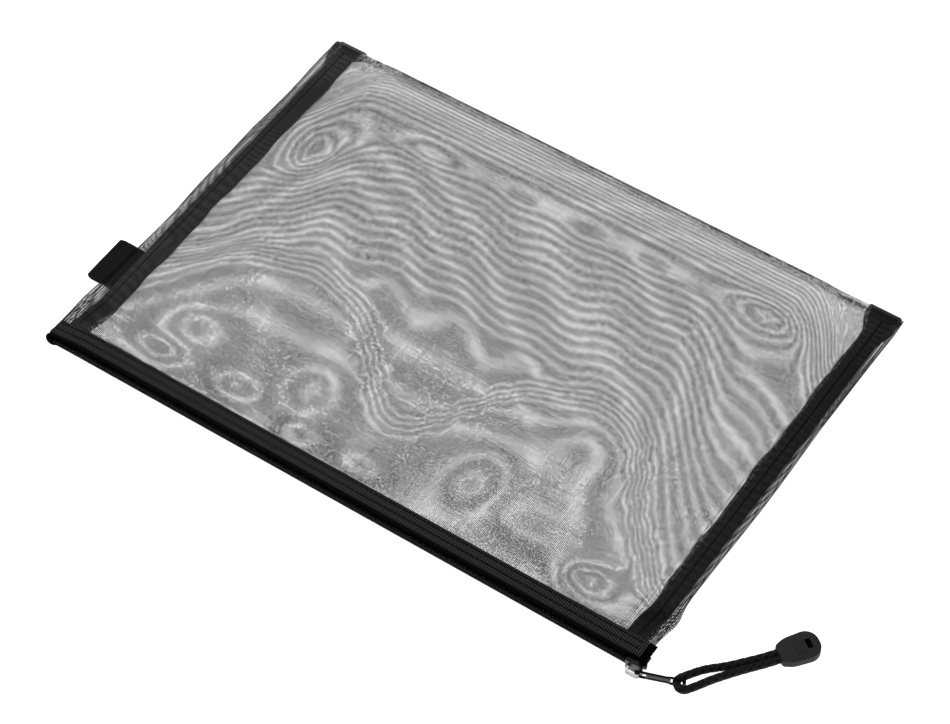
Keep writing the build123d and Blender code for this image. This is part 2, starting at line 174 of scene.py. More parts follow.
# Over the dark bands no light comes up from the table, so there the thread is painted dark instead
# of glinting: painted shade, a little weaker on the rolled edges, but full where the loop lies under
# the left one. A table of steps works out where the bands lie: a range rises from 0 to its top
# between two places in millimetres, and the others join two values.
values = {"x": parts.outputs["X"], "y": parts.outputs["Y"]}
painted_shade_steps = [
    ("past the loop", "ADD", "y", 64.0 * mm),
    ("from the loop", "ABSOLUTE", "past the loop", 0.0),
    ("left roll", "RANGE", "x", (-163.8, -165.0, 0.25)),
    ("beside the loop", "RANGE", "from the loop", (13.5, 15.5, 1.0)),
    ("open roll", "MULTIPLY", "left roll", "beside the loop"),
    ("left band", "RANGE", "x", (-151.0, -153.5, 1.0)),
    ("over left", "SUBTRACT", "left band", "open roll"),
    ("back corner", "RANGE", "y", (103.0, 117.0, 4.5 * mm)),
    ("widened", "ADD", "x", "back corner"),
    ("right band", "RANGE", "widened", (155.5, 158.0, 1.0)),
    ("right roll", "RANGE", "x", (166.6, 167.6, 0.14)),
    ("over right", "SUBTRACT", "right band", "right roll"),
    ("over a band", "MAXIMUM", "over left", "over right"),
]
for name, step, first, second in painted_shade_steps:
    if step == "RANGE":
        low, high, top = second
        share = {"Value": values[first], "From Min": low * mm, "From Max": high * mm, "To Max": top}
        values[name] = add(tree, "ShaderNodeMapRange", share).outputs["Result"]
    else:
        pair = {0: values[first], 1: values.get(second, second)}
        values[name] = add(tree, "ShaderNodeMath", pair, operation=step).outputs["Value"]
# painted shade: the thread over the bands and rolls is coloured near black
colour = add(
    tree, "ShaderNodeMixRGB",
    {"Fac": values["over a band"], "Color1": tone.outputs["Color"], "Color2": from_hex("060606")},
)
tree.links.new(colour.outputs["Color"], shader.inputs["Base Color"])
print("finish:", nylon.name)


# %% Woven polyester tapes
# woven polyester: a dull black that shows its ribs, with a fuzz of fibres, coarse enough to show
fuzz_mm = 0.9
# in mm: the zip tape front face's painted shade, full then gone in Y; its right end's darkening,
# gone then full in X
face_dark, face_light, end_light, end_dark = -119.9, -119.2, 169.6, 170.6


def woven(name, dark, light, rib_mm, rib_axis, rib_depth, fuzz_share, shine=0.12, painted_shade_face=False):
    """Dull woven tape with ribs and fuzz; the flag paints shade on the front face, blackens the
    right end.
    """
    material, tree, shader = finish(name, Roughness=0.75, IOR=1.5, Specular_IOR_Level=shine)
    place = add(tree, "ShaderNodeTexCoord").outputs["Object"]
    ribs = add(
        tree, "ShaderNodeTexWave",
        {"Vector": place, "Scale": band_scale(rib_mm), "Distortion": 0.5, "Detail": 1.0},
        bands_direction=rib_axis,
    )
    fine = {"Vector": place, "Scale": 1 / (fuzz_mm * mm), "Detail": 4.0}
    fuzz = add(tree, "ShaderNodeTexNoise", fine)
    both = add(
        tree, "ShaderNodeMix",
        {"Factor": fuzz_share, "A": ribs.outputs["Fac"], "B": fuzz.outputs["Fac"]},
    )
    tone = add(tree, "ShaderNodeValToRGB", {"Fac": both.outputs["Result"]})
    tone.color_ramp.elements[0].position = 0.3
    tone.color_ramp.elements[0].color = from_hex(dark)
    tone.color_ramp.elements[1].position = 0.85
    tone.color_ramp.elements[1].color = from_hex(light)
    colour = tone.outputs["Color"]
    if painted_shade_face:
        parts = add(tree, "ShaderNodeSeparateXYZ", {"Vector": place})
        shares = []
        for axis, low, high in (("Y", face_dark, face_light), ("X", end_dark, end_light)):
            share = {"Value": parts.outputs[axis], "From Min": low * mm, "From Max": high * mm}
            shares.append(add(tree, "ShaderNodeMapRange", share).outputs["Result"])
        unshaded_share = add(tree, "ShaderNodeMath", {0: shares[0], 1: shares[1]}, operation="MULTIPLY")
        # painted shade: near black on the front face, and the right end blackened the same way
        colour = add(
            tree, "ShaderNodeMixRGB",
            {"Fac": unshaded_share.outputs["Value"], "Color1": from_hex("010101"), "Color2": colour},
        ).outputs["Color"]
    tree.links.new(colour, shader.inputs["Base Color"])
    bump = add(
        tree, "ShaderNodeBump",
        {"Strength": 0.5, "Distance": rib_depth * mm, "Height": both.outputs["Result"]},
    )
    tree.links.new(bump.outputs["Normal"], shader.inputs["Normal"])
    return material


# one black binding in two copies: painted light on the left band, painted shade on the right one
binding_painted_light = woven("woven polyester binding", "444445", "7c7c7e", 0.8, "Y", 0.10, 0.55)
binding_painted_shade = woven("woven polyester binding, painted shade", "262627", "545456", 0.8, "Y", 0.10, 0.55)
tape_cloth = woven(
    "ribbed zip tape", "030303", "49494b", 1.15, "X", 0.16, 0.2, shine=0.02, painted_shade_face=True
)
flap_cloth = woven("plain zip tape", "010101", "060606", 0.8, "Y", 0.10, 0.5, shine=0.02)
webbing_cloth = woven("woven webbing", "060606", "161617", 1.3, "Y", 0.2, 0.45)
thread_yarn = woven("twisted polyester thread", "010101", "050505", 0.5, "DIAGONAL", 0.05, 0.45)
cloths = (binding_painted_light, binding_painted_shade, tape_cloth, flap_cloth, webbing_cloth, thread_yarn)
print("finishes:", [cloth.name for cloth in cloths])

# %% Moulded nylon coil
# moulded nylon: smooth and nearly black, with slow scuffs
scuff_mm = 4
coil_nylon, tree, shader = finish(
    "moulded nylon coil", Roughness=0.5, IOR=1.53, Specular_IOR_Level=0.08
)
place = add(tree, "ShaderNodeTexCoord").outputs["Object"]
fine = {"Vector": place, "Scale": 1 / (scuff_mm * mm), "Detail": 5.0}
scuffs = add(tree, "ShaderNodeTexNoise", fine)
tone = add(tree, "ShaderNodeValToRGB", {"Fac": scuffs.outputs["Fac"]})
tone.color_ramp.elements[0].color = from_hex("010101")
tone.color_ramp.elements[1].color = from_hex("060606")
tree.links.new(tone.outputs["Color"], shader.inputs["Base Color"])
print("finish:", coil_nylon.name)


# %% Nickel plate
# nickel plate: a bright grey metal with dulled spots; the slider is near black but for its bridge,
# and the tab's rails are near black as a painted dark reflection
spot_mm = 2.5
bridge_near, bridge_far = -122.9, -123.4
tab_middle, panel_half, rail_half = 6.2, 1.3, 1.5


def plated(name, low, high, roughness, dark, where):
    """Plated zinc casting with dulled spots; `where` gives the share that is bright, not dark."""
    material, tree, shader = finish(name, Metallic=1.0)
    place = add(tree, "ShaderNodeTexCoord").outputs["Object"]
    fine = {"Vector": place, "Scale": 1 / (spot_mm * mm), "Detail": 6.0}
    spots = add(tree, "ShaderNodeTexNoise", fine)
    tone = add(tree, "ShaderNodeValToRGB", {"Fac": spots.outputs["Fac"]})
    tone.color_ramp.elements[0].color = from_hex(low)
    tone.color_ramp.elements[1].color = from_hex(high)
    bright = where(tree, add(tree, "ShaderNodeSeparateXYZ", {"Vector": place}))
    colour = add(
        tree, "ShaderNodeMixRGB",
        {"Fac": bright, "Color1": from_hex(dark), "Color2": tone.outputs["Color"]},
    )
    tree.links.new(colour.outputs["Color"], shader.inputs["Base Color"])
    rough = add(
        tree, "ShaderNodeMapRange",
        {"Value": spots.outputs["Fac"], "To Min": roughness - 0.06, "To Max": roughness + 0.1},
    )
    tree.links.new(rough.outputs["Result"], shader.inputs["Roughness"])
    return material


def on_bridge(tree, parts):
    """1 on the bridge, which stands out in front of the slider's plate."""
    near, far = bridge_near * mm, bridge_far * mm
    share = {"Value": parts.outputs["Y"], "From Min": near, "From Max": far}
    return add(tree, "ShaderNodeMapRange", share).outputs["Result"]


def on_panel(tree, parts):
    """1 on the tab's sunk panel, and 0 on the rails above and below it."""
    pair = {0: parts.outputs["Z"], 1: tab_middle * mm}
    off_middle = add(tree, "ShaderNodeMath", pair, operation="SUBTRACT").outputs["Value"]
    height = add(tree, "ShaderNodeMath", {0: off_middle}, operation="ABSOLUTE").outputs["Value"]
    share = {"Value": height, "From Min": rail_half * mm, "From Max": panel_half * mm}
    return add(tree, "ShaderNodeMapRange", share).outputs["Result"]


nickel = plated("nickel-plated zinc", "77767a", "a5a4a2", 0.3, "141414", on_bridge)
# painted reflection: the tab's rails are coloured near black
dark_nickel = plated("black nickel plate", "3a3a3b", "4a4a4b", 0.4, "080808", on_panel)
print("finishes:", nickel.name, dark_nickel.name)

# %% Cord and grip
# braided polyester: dull, with painted shade between the strands and a painted highlight on them
cord_yarn, tree, shader = finish(
    "braided polyester cord", Roughness=0.7, IOR=1.5, Specular_IOR_Level=0.15
)
strands = add(tree, "ShaderNodeAttribute", attribute_name="braid")
tone = add(tree, "ShaderNodeValToRGB", {"Fac": strands.outputs["Fac"]})
tone.color_ramp.elements[0].position = 0.35
tone.color_ramp.elements[0].color = from_hex("010101")
tone.color_ramp.elements[1].position = 1.0
tone.color_ramp.elements[1].color = from_hex("1a1a1a")
tree.links.new(tone.outputs["Color"], shader.inputs["Base Color"])
# moulded elastomer: matte dark grey with a fine grit
grit_mm = 0.6
grip_plastic, tree, shader = finish(
    "matte moulded elastomer", Roughness=0.62, IOR=1.5, Specular_IOR_Level=0.2
)
place = add(tree, "ShaderNodeTexCoord").outputs["Object"]
fine = {"Vector": place, "Scale": 1 / (grit_mm * mm), "Detail": 3.0}
grit = add(tree, "ShaderNodeTexNoise", fine)
tone = add(tree, "ShaderNodeValToRGB", {"Fac": grit.outputs["Fac"]})
tone.color_ramp.elements[0].color = from_hex("1c1c1c")
tone.color_ramp.elements[1].color = from_hex("262626")
tree.links.new(tone.outputs["Color"], shader.inputs["Base Color"])
bump = add(
    tree, "ShaderNodeBump",
    {"Strength": 0.25, "Distance": 0.05 * mm, "Height": grit.outputs["Fac"]},
)
tree.links.new(bump.outputs["Normal"], shader.inputs["Normal"])
# painted shade: the same plastic near black in the grip's window, where hardly any light comes
window_painted_shade, tree, shader = finish(
    "matte elastomer, painted shade", Roughness=0.8, Specular_IOR_Level=0.05
)
shader.inputs["Base Color"].default_value = from_hex("020202")
print("finishes:", cord_yarn.name, grip_plastic.name, window_painted_shade.name)

# %% [markdown]
# ## The cord
# A braided cord about 11 cm long is looped through the eye of the pull tab, and both its ends go
# into the grip. Its route is a smooth spline on the same points as the CAD tube. The braid is
# modelled on the surface of a tube along that spline, because its bumps show in the outline.

# %% Cord route
pin = np.array([171.3, -124.8, 6.2])
tab_length, tab_angle, cord_angle = 22.2, math.radians(20.0), math.radians(55.1)
tab_along = np.array([math.cos(tab_angle), math.sin(tab_angle), 0.0])
cord_along = np.array([math.cos(cord_angle), math.sin(cord_angle), 0.0])
cord_beside = np.array([-math.sin(cord_angle), math.cos(cord_angle), 0.0])
cord_start = pin * (1, 1, 0) + tab_along * tab_length
# along the cord, half the gap between the strands, bow of the pair towards the wallet, and up
lay = [
    (49.2, 1.75, 0.0, 2.4), (40.5, 1.75, 0.0, 2.4), (31.0, 1.85, 1.1, 2.05),
    (22.0, 2.10, 1.7, 2.10), (12.5, 3.10, 1.8, 3.85), (5.0, 3.45, 0.6, 5.45),
    (-3.35, 3.35, 0.0, 6.2),
]
route = [(a, bow + half, z) for a, half, bow, z in lay]
route += [(a, bow - half, z) for a, half, bow, z in reversed(lay)]
route = [cord_start + cord_along * a + cord_beside * b + np.array([0, 0, z]) for a, b, z in route]

guide = bpy.data.curves.new("cord_guide", "CURVE")
guide.dimensions = "3D"
spline = guide.splines.new("NURBS")
spline.points.add(len(route) - 1)
for point, (x, y, z) in zip(spline.points, route):
    point.co = (x * mm, y * mm, z * mm, 1.0)
spline.order_u = 3
spline.use_endpoint_u = True
spline.resolution_u = 24
guide_object = bpy.data.objects.new("cord_guide", guide)
bpy.context.collection.objects.link(guide_object)
bpy.context.view_layer.update()
depsgraph = bpy.context.evaluated_depsgraph_get()
line = bpy.data.meshes.new_from_object(guide_object.evaluated_get(depsgraph))
path = np.array([v.co for v in line.vertices]) / mm
bpy.data.objects.remove(guide_object)
steps = np.linalg.norm(np.diff(path, axis=0), axis=1)
print("cord route:", len(path), "points,", round(float(steps.sum()), 1), "mm")


# %% Helpers for pieces
def piece_from(name, points, faces):
    """A mesh object from points in millimetres."""
    mesh = bpy.data.meshes.new(name)
    mesh.from_pydata((np.asarray(points).reshape(-1, 3) * mm).tolist(), [], faces)
    mesh.validate()
    piece = bpy.data.objects.new(name, mesh)
    bpy.context.collection.objects.link(piece)
    return piece


def grid_faces(rows, columns, closed=False):
    """Quads of a sheet of rows by columns; closed joins the last column to the first."""
    faces = []
    for row in range(rows - 1):
        for column in range(columns if closed else columns - 1):
            after = (column + 1) % columns
            faces.append((
                row * columns + column, row * columns + after,
                (row + 1) * columns + after, (row + 1) * columns + column,
            ))
    return faces


def only(piece):
    """Selects one piece and makes it the active one."""
    bpy.ops.object.select_all(action="DESELECT")
    piece.select_set(True)
    bpy.context.view_layer.objects.active = piece


def apply_modifier(piece, kind, **settings):
    """Adds a modifier with its settings and applies it."""
    only(piece)
    modifier = piece.modifiers.new(kind.title(), kind)
    for name, value in settings.items():
        setattr(modifier, name, value)
    bpy.ops.object.modifier_apply(modifier=modifier.name)


def outward(piece):
    """Merges doubles and turns all faces outwards."""
    only(piece)
    bpy.ops.object.mode_set(mode="EDIT")
    bpy.ops.mesh.select_all(action="SELECT")
    bpy.ops.mesh.remove_doubles(threshold=0.000001)
    bpy.ops.mesh.normals_make_consistent(inside=False)
    bpy.ops.object.mode_set(mode="OBJECT")


def smooth(piece, angle):
    """Shades a piece smooth, but for edges sharper than the angle in degrees."""
    only(piece)
    bpy.ops.object.shade_smooth_by_angle(angle=math.radians(angle))


def settle(piece, body, slot, material, *nodes):
    """Gives a piece its material and body, and hides the CAD nodes it stands for; the slot is not
    used.
    """
    piece.data.materials.clear()
    piece.data.materials.append(material)
    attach(piece, body)
    if nodes:
        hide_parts(*nodes)
    print(piece.name, "on", body, "faces", len(piece.data.polygons))


def ease(start, end, value):
    """Smooth step from 0 at start to 1 at end."""
    t = np.clip((np.asarray(value, float) - start) / (end - start), 0, 1)
    return t * t * (3 - 2 * t)


print("helpers ready")

# %% Braided cord
cord_radius, braid_height, braid_step, braid_ridges = 1.82, 0.17, 4.4, 4
ring_step, ring_sides = 0.24, 32
gone = np.concatenate([[0], np.cumsum(steps)])
rings = int(gone[-1] / ring_step)
place_along = np.linspace(0, gone[-1], rings)
centre = np.stack([np.interp(place_along, gone, path[:, k]) for k in range(3)], axis=1)
heading = np.gradient(centre, axis=0)
heading /= np.linalg.norm(heading, axis=1)[:, None]
side = np.cross(heading, (0, 0, 1))
side /= np.linalg.norm(side, axis=1)[:, None]
up = np.cross(side, heading)
turn = np.linspace(0, 2 * np.pi, ring_sides, endpoint=False)
wind = 2 * np.pi * place_along[:, None] / braid_step
weave = np.maximum(np.cos(braid_ridges * turn + wind), np.cos(braid_ridges * turn - wind))
radius = cord_radius + braid_height * weave
ring = side[:, None] * np.cos(turn)[None, :, None] + up[:, None] * np.sin(turn)[None, :, None]
skin = centre[:, None] + ring * radius[:, :, None]
faces = grid_faces(rings, ring_sides, closed=True)
faces += [tuple(range(ring_sides)), tuple(range((rings - 1) * ring_sides, rings * ring_sides))]
pull_cord = piece_from("braided_cord", skin, faces)
# the braid's height at each point, which the cord's finish turns into painted shade and highlight
shade = pull_cord.data.attributes.new("braid", "FLOAT", "POINT")
shade.data.foreach_set("value", (0.5 + 0.5 * weave).ravel().astype(np.float32))
outward(pull_cord)
smooth(pull_cord, 60)
settle(pull_cord, "cord", "cord", cord_yarn, "pull_cord")

# %% [markdown]
# ## The grip
# The moulded end is a tapered tab with rounded corners and bevelled edges. It starts as a filled
# circle whose points are drawn out to the tab's outline, and is then extruded and bevelled as one
# would by hand. The window and the socket for the cord are cut out with booleans.

# %% Grip outline
grip_length, grip_mouth, grip_far, grip_round, grip_thick = 20.0, 4.9, 7.6, 6.4, 4.8
grip_shoulder, shoulder_half, mouth_at, grip_bevel = 5.0, 6.9, 46.2, 1.9
window_at, window_size, socket_size = 14.8, (2.6, 5.2, 5.0), (6.0, 7.5, 4.0)
ridge_at, ridge_step, ridge_size = 10.4, 1.8, (0.7, 8.0, 0.7)
taper = math.atan2(grip_far - shoulder_half, grip_length - grip_shoulder)
round_x = grip_length - grip_round
round_y = grip_far - grip_round / math.cos(taper) - math.tan(taper) * grip_round
sweep = np.linspace(0, math.pi / 2 + taper, 11)
# along the grip from its mouth, and half its width there
half = [
    (0.0, grip_mouth - 0.9), (0.7, grip_mouth + 0.1), (2.6, 5.85),
    (4.2, 6.5), (6.0, 6.9), (8.5, 7.05),
]
half += [
    (round_x + grip_round * math.cos(a), round_y + grip_round * math.sin(a)) for a in sweep[::-1]
]
outline = half + [(a, -b) for a, b in reversed(half)]
bpy.ops.object.select_all(action="DESELECT")
bpy.ops.mesh.primitive_circle_add(vertices=len(outline), radius=0.01, fill_type="NGON")
grip = bpy.context.object
grip.name = "cord_grip"
for vertex, (a, b) in zip(grip.data.vertices, outline):
    spot = cord_start + cord_along * (mouth_at + a) + cord_beside * b
    vertex.co = (spot[0] * mm, spot[1] * mm, 0.0)
print("grip outline:", len(outline), "points, far half width", round(round_y + grip_round, 2))

# %% Grip body
bpy.ops.object.mode_set(mode="EDIT")
bpy.ops.mesh.select_all(action="SELECT")
bpy.ops.mesh.extrude_region_move(TRANSFORM_OT_translate={"value": (0, 0, grip_thick * mm)})
bpy.ops.object.mode_set(mode="OBJECT")
outward(grip)
for edge in grip.data.edges:
    heights = [grip.data.vertices[v].co.z for v in edge.vertices]
    edge.select = abs(heights[0] - heights[1]) < 1e-6
bpy.ops.object.mode_set(mode="EDIT")
bpy.ops.mesh.select_mode(type="EDGE")
bpy.ops.mesh.bevel(offset=grip_bevel * mm, segments=6, profile=0.5, clamp_overlap=True)
bpy.ops.object.mode_set(mode="OBJECT")


def block(name, along, beside, low, size):
    """A box square to the grip, with its middle that far along, beside and above."""
    spot = cord_start + cord_along * along + cord_beside * beside
    bpy.ops.mesh.primitive_cube_add(size=1.0, location=(spot[0] * mm, spot[1] * mm, low * mm))
    box = bpy.context.object
    box.name = name
    box.rotation_euler = (0, 0, cord_angle)
    box.scale = [v * mm for v in size]
    bpy.ops.object.transform_apply(location=True, rotation=True, scale=True)
    return box


def cut(piece, tool):
    """Cuts a tool out of a piece and removes the tool."""
    apply_modifier(piece, "BOOLEAN", operation="DIFFERENCE", object=tool, solver="EXACT")
    bpy.data.objects.remove(tool)


window = block("window_tool", mouth_at + window_at, 0, grip_thick, window_size)
apply_modifier(window, "BEVEL", width=0.3 * mm, segments=2)
cut(grip, window)
socket = block("socket_tool", mouth_at, 0, grip_thick / 2, socket_size)
apply_modifier(socket, "BEVEL", width=1.7 * mm, segments=5)
cut(grip, socket)
for number in range(3):
    ridge_along = mouth_at + ridge_at + (number - 1) * ridge_step
    ridge = block("ridge", ridge_along, 0, grip_thick, ridge_size)
    apply_modifier(ridge, "BEVEL", width=0.25 * mm, segments=2)
    only(grip)
    ridge.select_set(True)
    bpy.ops.object.join()
smooth(grip, 35)
settle(grip, "cord", "cord_end_plastic", grip_plastic, "cord_end")
# the window's faces get the second material, the painted shade
grip.data.materials.append(window_painted_shade)
for face in grip.data.polygons:
    away_from = np.array(face.center) / mm - cord_start
    along, beside = float(away_from @ cord_along) - mouth_at, float(away_from @ cord_beside)
    sunk = face.center.z < (grip_thick - 0.3) * mm
    in_window = abs(along - window_at) < 1.4 and abs(beside) < 2.7 and sunk
    face.material_index = 1 if in_window else 0

# %% [markdown]
# ## The mesh
# The mesh is woven from fine nylon thread, thirteen or fourteen threads to the centimetre, so the
# table shows through it. Where the upper panel lies over the lower one, the two sets of threads
# beat against each other and draw the watered pattern of the real wallet. A picture of that pattern
# would stay put when one walks round, so each thread is modelled: a thin strip along the panel. The
# cloth of a filled pocket is drawn and slack by a few millimetres, and `drawn` says by how many
# threads it is out of step with the lower panel. Each whole step draws one fringe, and each hill of
# it draws a ring.

# %% Shape of the panels
half_width, face_y, fold_y, zip_z, face_top = 170.0, -120.0, 120.0, 6.2, 12.4
lip_top, flat_top = 11.6, 3.5
# the rolled edges: how far out they go, and the length of cloth that makes the turn
roll_x, roll_y, turn_length_x, turn_length_y = 3.0, 1.9, 3.4, 2.9
pitch_x, pitch_y, thread_depth = 0.78, 0.70, 0.12
# width of the threads that run front to back, and of those that run side to side
thread_wide = {True: 0.155, False: 0.175}
# how far a thread strays at random from its place
thread_stray = 0.035
edge_x, edge_y = half_width - roll_x, fold_y - roll_y


def seam_middle(y):
    """Height of the side seam: flat, then climbing towards the zip."""
    return 1.7 + 0.22 * np.clip(-88.0 - y, 0, 20)


def droop(x):
    """What is left of the zip's height, which sinks at its free left end."""
    return 1 - 0.2 * ease(-148, -168, x)


def panel_top(x, y):
    """Height of the filled-out upper panel."""
    filled = ease(157, 116, np.abs(x)) * ease(119, 80, y)
    crown = 12.0 - 1.4 * (x / 126) ** 2 - 1.2 * (y / 88) ** 2
    top = flat_top + (crown - flat_top) * filled
    front = ease(-84, -108, y)
    return top * (1 - front) + lip_top * droop(x) * front


def side_wave(x, y):
    """How far the rolled side edge strays from straight."""
    left = 0.5 * np.sin(y / 17.0) + 0.35 * np.sin(y / 7.3 + 1.0)
    left = left + 2.2 * np.exp(-(((y + 87) / 12) ** 2))
    right = 0.5 * np.sin(y / 21.0 + 2.0) + 2.1 * np.exp(-(((y + 91) / 9) ** 2))
    return np.where(x < 0, left, right) * ease(-118, -108, y) * ease(119, 108, y)


# middle in X and Y, threads out of step, half width in X and Y
hills = [
    (-131, 50, 3.6, 15, 24), (116, 80, 2.6, 18, 11), (-78, 76, 1.5, 17, 9), (-24, 75, 0.8, 11, 9),
    (14, 75, 0.9, 12, 9), (52, 76, 0.7, 12, 9), (88, -36, -1.3, 20, 14), (128, -98, 2.8, 13, 10),
    (54, -80, -1.8, 13, 18), (-118, -99, 2.4, 15, 10), (-112, -76, -1.1, 14, 10),
    (-72, -97, 1.6, 12, 9), (-42, -78, -1.6, 11, 13), (-30, -104, 1.4, 10, 8),
    (4, -102, 1.1, 13, 8), (90, -84, 0.9, 22, 12),
]
crease_x = (-170, -148, -112, -80, -52, -32, -12, 2, 16, 28, 40, 60, 84, 104, 114, 120, 140, 170)
crease_y = (-50, -42, -24, -16, -24, -42, -68, -77, -68, -46, -26, -14, -8, -14, -33, -48, -70, -98)
# fringes that the lower panel's finer pitch makes by itself, for each mm from front to back
step_slope = 0.11


def crease(x):
    """Line of the long soft crease across the panel: its Y for each X, with the corners rounded."""
    return sum(np.interp(x + off, crease_x, crease_y) for off in (-6, -3, 0, 3, 6)) / 5


def drawn(x, y):
    """How many threads the upper panel is out of step with the lower one, front to back."""
    # the fringes spread and sink towards both sides
    right, left = ease(84, 165, x), ease(-90, -165, x)
    start = 75 - 33 * right - 57 * left
    level = 75 - (start - y) / (1 + 0.81 * right + 0.28 * left)
    level = level + 3.2 * np.sin(x / 21 + y / 30) * ease(70, 50, y) * ease(-60, -20, y)
    # they crowd at the back fold, fall evenly over the middle, and step down at the crease
    outer = y + 44 * ease(118, 170, x) + 44 * ease(-128, -170, x)
    steps = -0.0059 * np.clip(outer - 80, 0, 45) ** 2 - 0.145 * np.clip(75 - level, 0, 78)
    steps = steps - 4.0 * ease(12, -12, y - crease(x)) - 0.03 * np.clip(-3 - level, 0, 60)
    steps = steps + 0.35 * np.sin(x / 6.5 + y / 14) * ease(72, 55, y) * ease(-40, -10, y)
    for hill_x, hill_y, height, wide_x, wide_y in hills:
        far_x, far_y = (x - hill_x) / wide_x, (y - hill_y) / wide_y
        steps = steps + height * np.exp(-(far_x ** 2) - far_y ** 2)
    return steps


def slack(x, y):
    """How far the upper panel's cloth is shifted on its surface, in X and in Y."""
    rise = panel_top(x, y) - 0.3
    steps = drawn(x, y)
    across = 0.22 * steps + 0.4 * np.sin(y / 19 + x / 33)
    shift_x = pitch_x * across + 0.45 * (rise - 9.0)
    shift_y = pitch_y * (steps - step_slope * (y - 75) + 7.9) - 0.631 * (rise - 9.0)
    return shift_x * ease(166, 152, np.abs(x)), shift_y


def upper_place(s, t):
    """A point of the upper panel, from its place on the flat cloth."""
    shift_x, shift_y = 0.0, 0.0
    for _ in range(2):
        x, y = np.clip(s + shift_x, -edge_x, edge_x), np.minimum(t + shift_y, edge_y)
        shift_x, shift_y = slack(x, y)
    return pocket_side(s + shift_x, t + shift_y)


def edge_turns(s, t):
    """How far the cloth has turned over at a side and at the back fold, up to a quarter turn."""
    turn_x = np.clip((np.abs(s) - edge_x) / turn_length_x, 0, 1) * math.pi / 2
    turn_y = np.clip((t - edge_y) / turn_length_y, 0, 1) * math.pi / 2
    return turn_x, turn_y


def pocket_side(s, t):
    """A point of the upper panel's surface, with its edges rolled over."""
    turn_x, turn_y = edge_turns(s, t)
    flat_x, flat_y = np.clip(s, -edge_x, edge_x), np.minimum(t, edge_y)
    out = (roll_x + side_wave(s, t)) * np.sin(turn_x)
    x = flat_x + np.sign(s) * out
    y = flat_y + roll_y * np.sin(turn_y)
    middle = seam_middle(flat_y)
    z = middle + (panel_top(flat_x, flat_y) - middle) * np.cos(turn_x) * np.cos(turn_y)
    return np.stack([x, y, z], axis=-1)


def lower_place(s, t):
    """A point of the lower panel, which lies flat and turns up at its edges."""
    point = pocket_side(s, t)
    turn_x, turn_y = edge_turns(s, t)
    middle = seam_middle(np.minimum(t, edge_y))
    floor = 0.2 + 0.75 * ease(-104, -109, t)
    point[..., 2] = middle - (middle - floor) * np.cos(turn_x) * np.cos(turn_y)
    return point


heights = [round(float(panel_top(x, 0)), 1) for x in (0, 160)]
print("crown", heights[0], "mm, over the band", heights[1], "mm")

# %% Threads
def thread_set(place, lines, stations, lift, front_to_back):
    """Threads of a set along a panel: points by thread, station and corner, and the faces."""
    first, second = np.meshgrid(lines, stations, indexing="ij")
    first = first + np.random.default_rng(7).normal(0, thread_stray, first.shape)
    s, t = (first, second) if front_to_back else (second, first)
    # the threads look thinner at the back and thicker where the cloth is gathered at its edges
    half = 1 - 0.3 * ease(84, 104, t) + 0.9 * ease(115.5, 118, t) + 0.2 * ease(-98, -108, t)
    half = half + np.where(s < 0, 0.4, 0.6) * ease(164.5, 167.5, np.abs(s))
    half = half * thread_wide[front_to_back] / 2
    off_s, off_t = (half, 0) if front_to_back else (0, half)
    near, far = place(s - off_s, t - off_t), place(s + off_s, t + off_t)
    probe = 0.2
    normal = np.cross(
        place(s + probe, t) - place(s - probe, t), place(s, t + probe) - place(s, t - probe)
    )
    normal /= np.maximum(np.linalg.norm(normal, axis=-1), 1e-9)[..., None]
    low, high = normal * (lift - thread_depth / 2), normal * (lift + thread_depth / 2)
    corners = np.stack([near + low, far + low, far + high, near + high], axis=2)
    threads, count = corners.shape[:2]
    base = (np.arange(threads)[:, None] * count + np.arange(count)[None, :]) * 4
    faces = []
    for corner in range(4):
        after = (corner + 1) % 4
        here, there = base[:, :-1], base[:, 1:]
        quad = [here + corner, there + corner, there + after, here + after]
        quad = quad if front_to_back else quad[::-1]
        faces.append(np.stack(quad, axis=-1).reshape(-1, 4))
    ends = [base[:, 0], base[:, -1]]
    for end, back in zip(ends, (front_to_back, not front_to_back)):
        order = (0, 1, 2, 3) if back else (3, 2, 1, 0)
        faces.append(np.stack([end + corner for corner in order], axis=-1))
    return corners.reshape(-1, 3), np.concatenate(faces)


def net(name, place, step_x, step_y, x_stations, y_stations):
    """Both sets of threads of one panel as one piece."""
    across = np.arange(-edge_x - 3.3, edge_x + 3.3, step_x)
    along = np.arange(y_stations[0], edge_y + 2.7, step_y)
    points_a, faces_a = thread_set(place, across, y_stations, thread_depth / 2, True)
    points_b, faces_b = thread_set(place, along, x_stations, -thread_depth / 2, False)
    faces = np.concatenate([faces_a, faces_b + len(points_a)])
    return piece_from(name, np.concatenate([points_a, points_b]), faces.tolist())


side_stations = np.array((-170.4, -169, -167, -162, -156))
front_stations = (-123.2, -116, -109, -100, -92, -84)
back_stations = (76, 86, 96, 106, 114, 118.1, 119.8, 120.8)
fine_x = np.concatenate([side_stations, np.linspace(-149, 149, 36), -side_stations[::-1]])
fine_y = np.concatenate([front_stations, np.linspace(-60, 60, 6), back_stations])
plain_x = np.concatenate([side_stations, np.linspace(-130, 130, 5), -side_stations[::-1]])
plain_y = np.concatenate([(-117.2, -109, -104), np.linspace(-60, 90, 4), back_stations[-4:]])
lower_x, lower_y = 1 / (1 / pitch_x + 1 / 90), 1 / (1 / pitch_y + step_slope)
upper_net = net("upper_mesh_panel", upper_place, pitch_x, pitch_y, fine_x, fine_y)
lower_net = net("lower_mesh_panel", lower_place, lower_x, lower_y, plain_x, plain_y)
settle(upper_net, "wallet", "mesh", nylon, "mesh_body")
settle(lower_net, "wallet", "mesh", nylon, "mesh_body")

# %% [markdown]
# ## Side seams
# The raw edges of both panels are bound with a folded tape and sewn down with one row of stitches.
# The seam is turned to the inside, so the band shows dark through the mesh, and its inner edge
# waves a little as sewn tape does. At the back corners the tape's end lies over the fold.


# %% Binding tapes
band_thick, leg_height = 0.5, 0.7


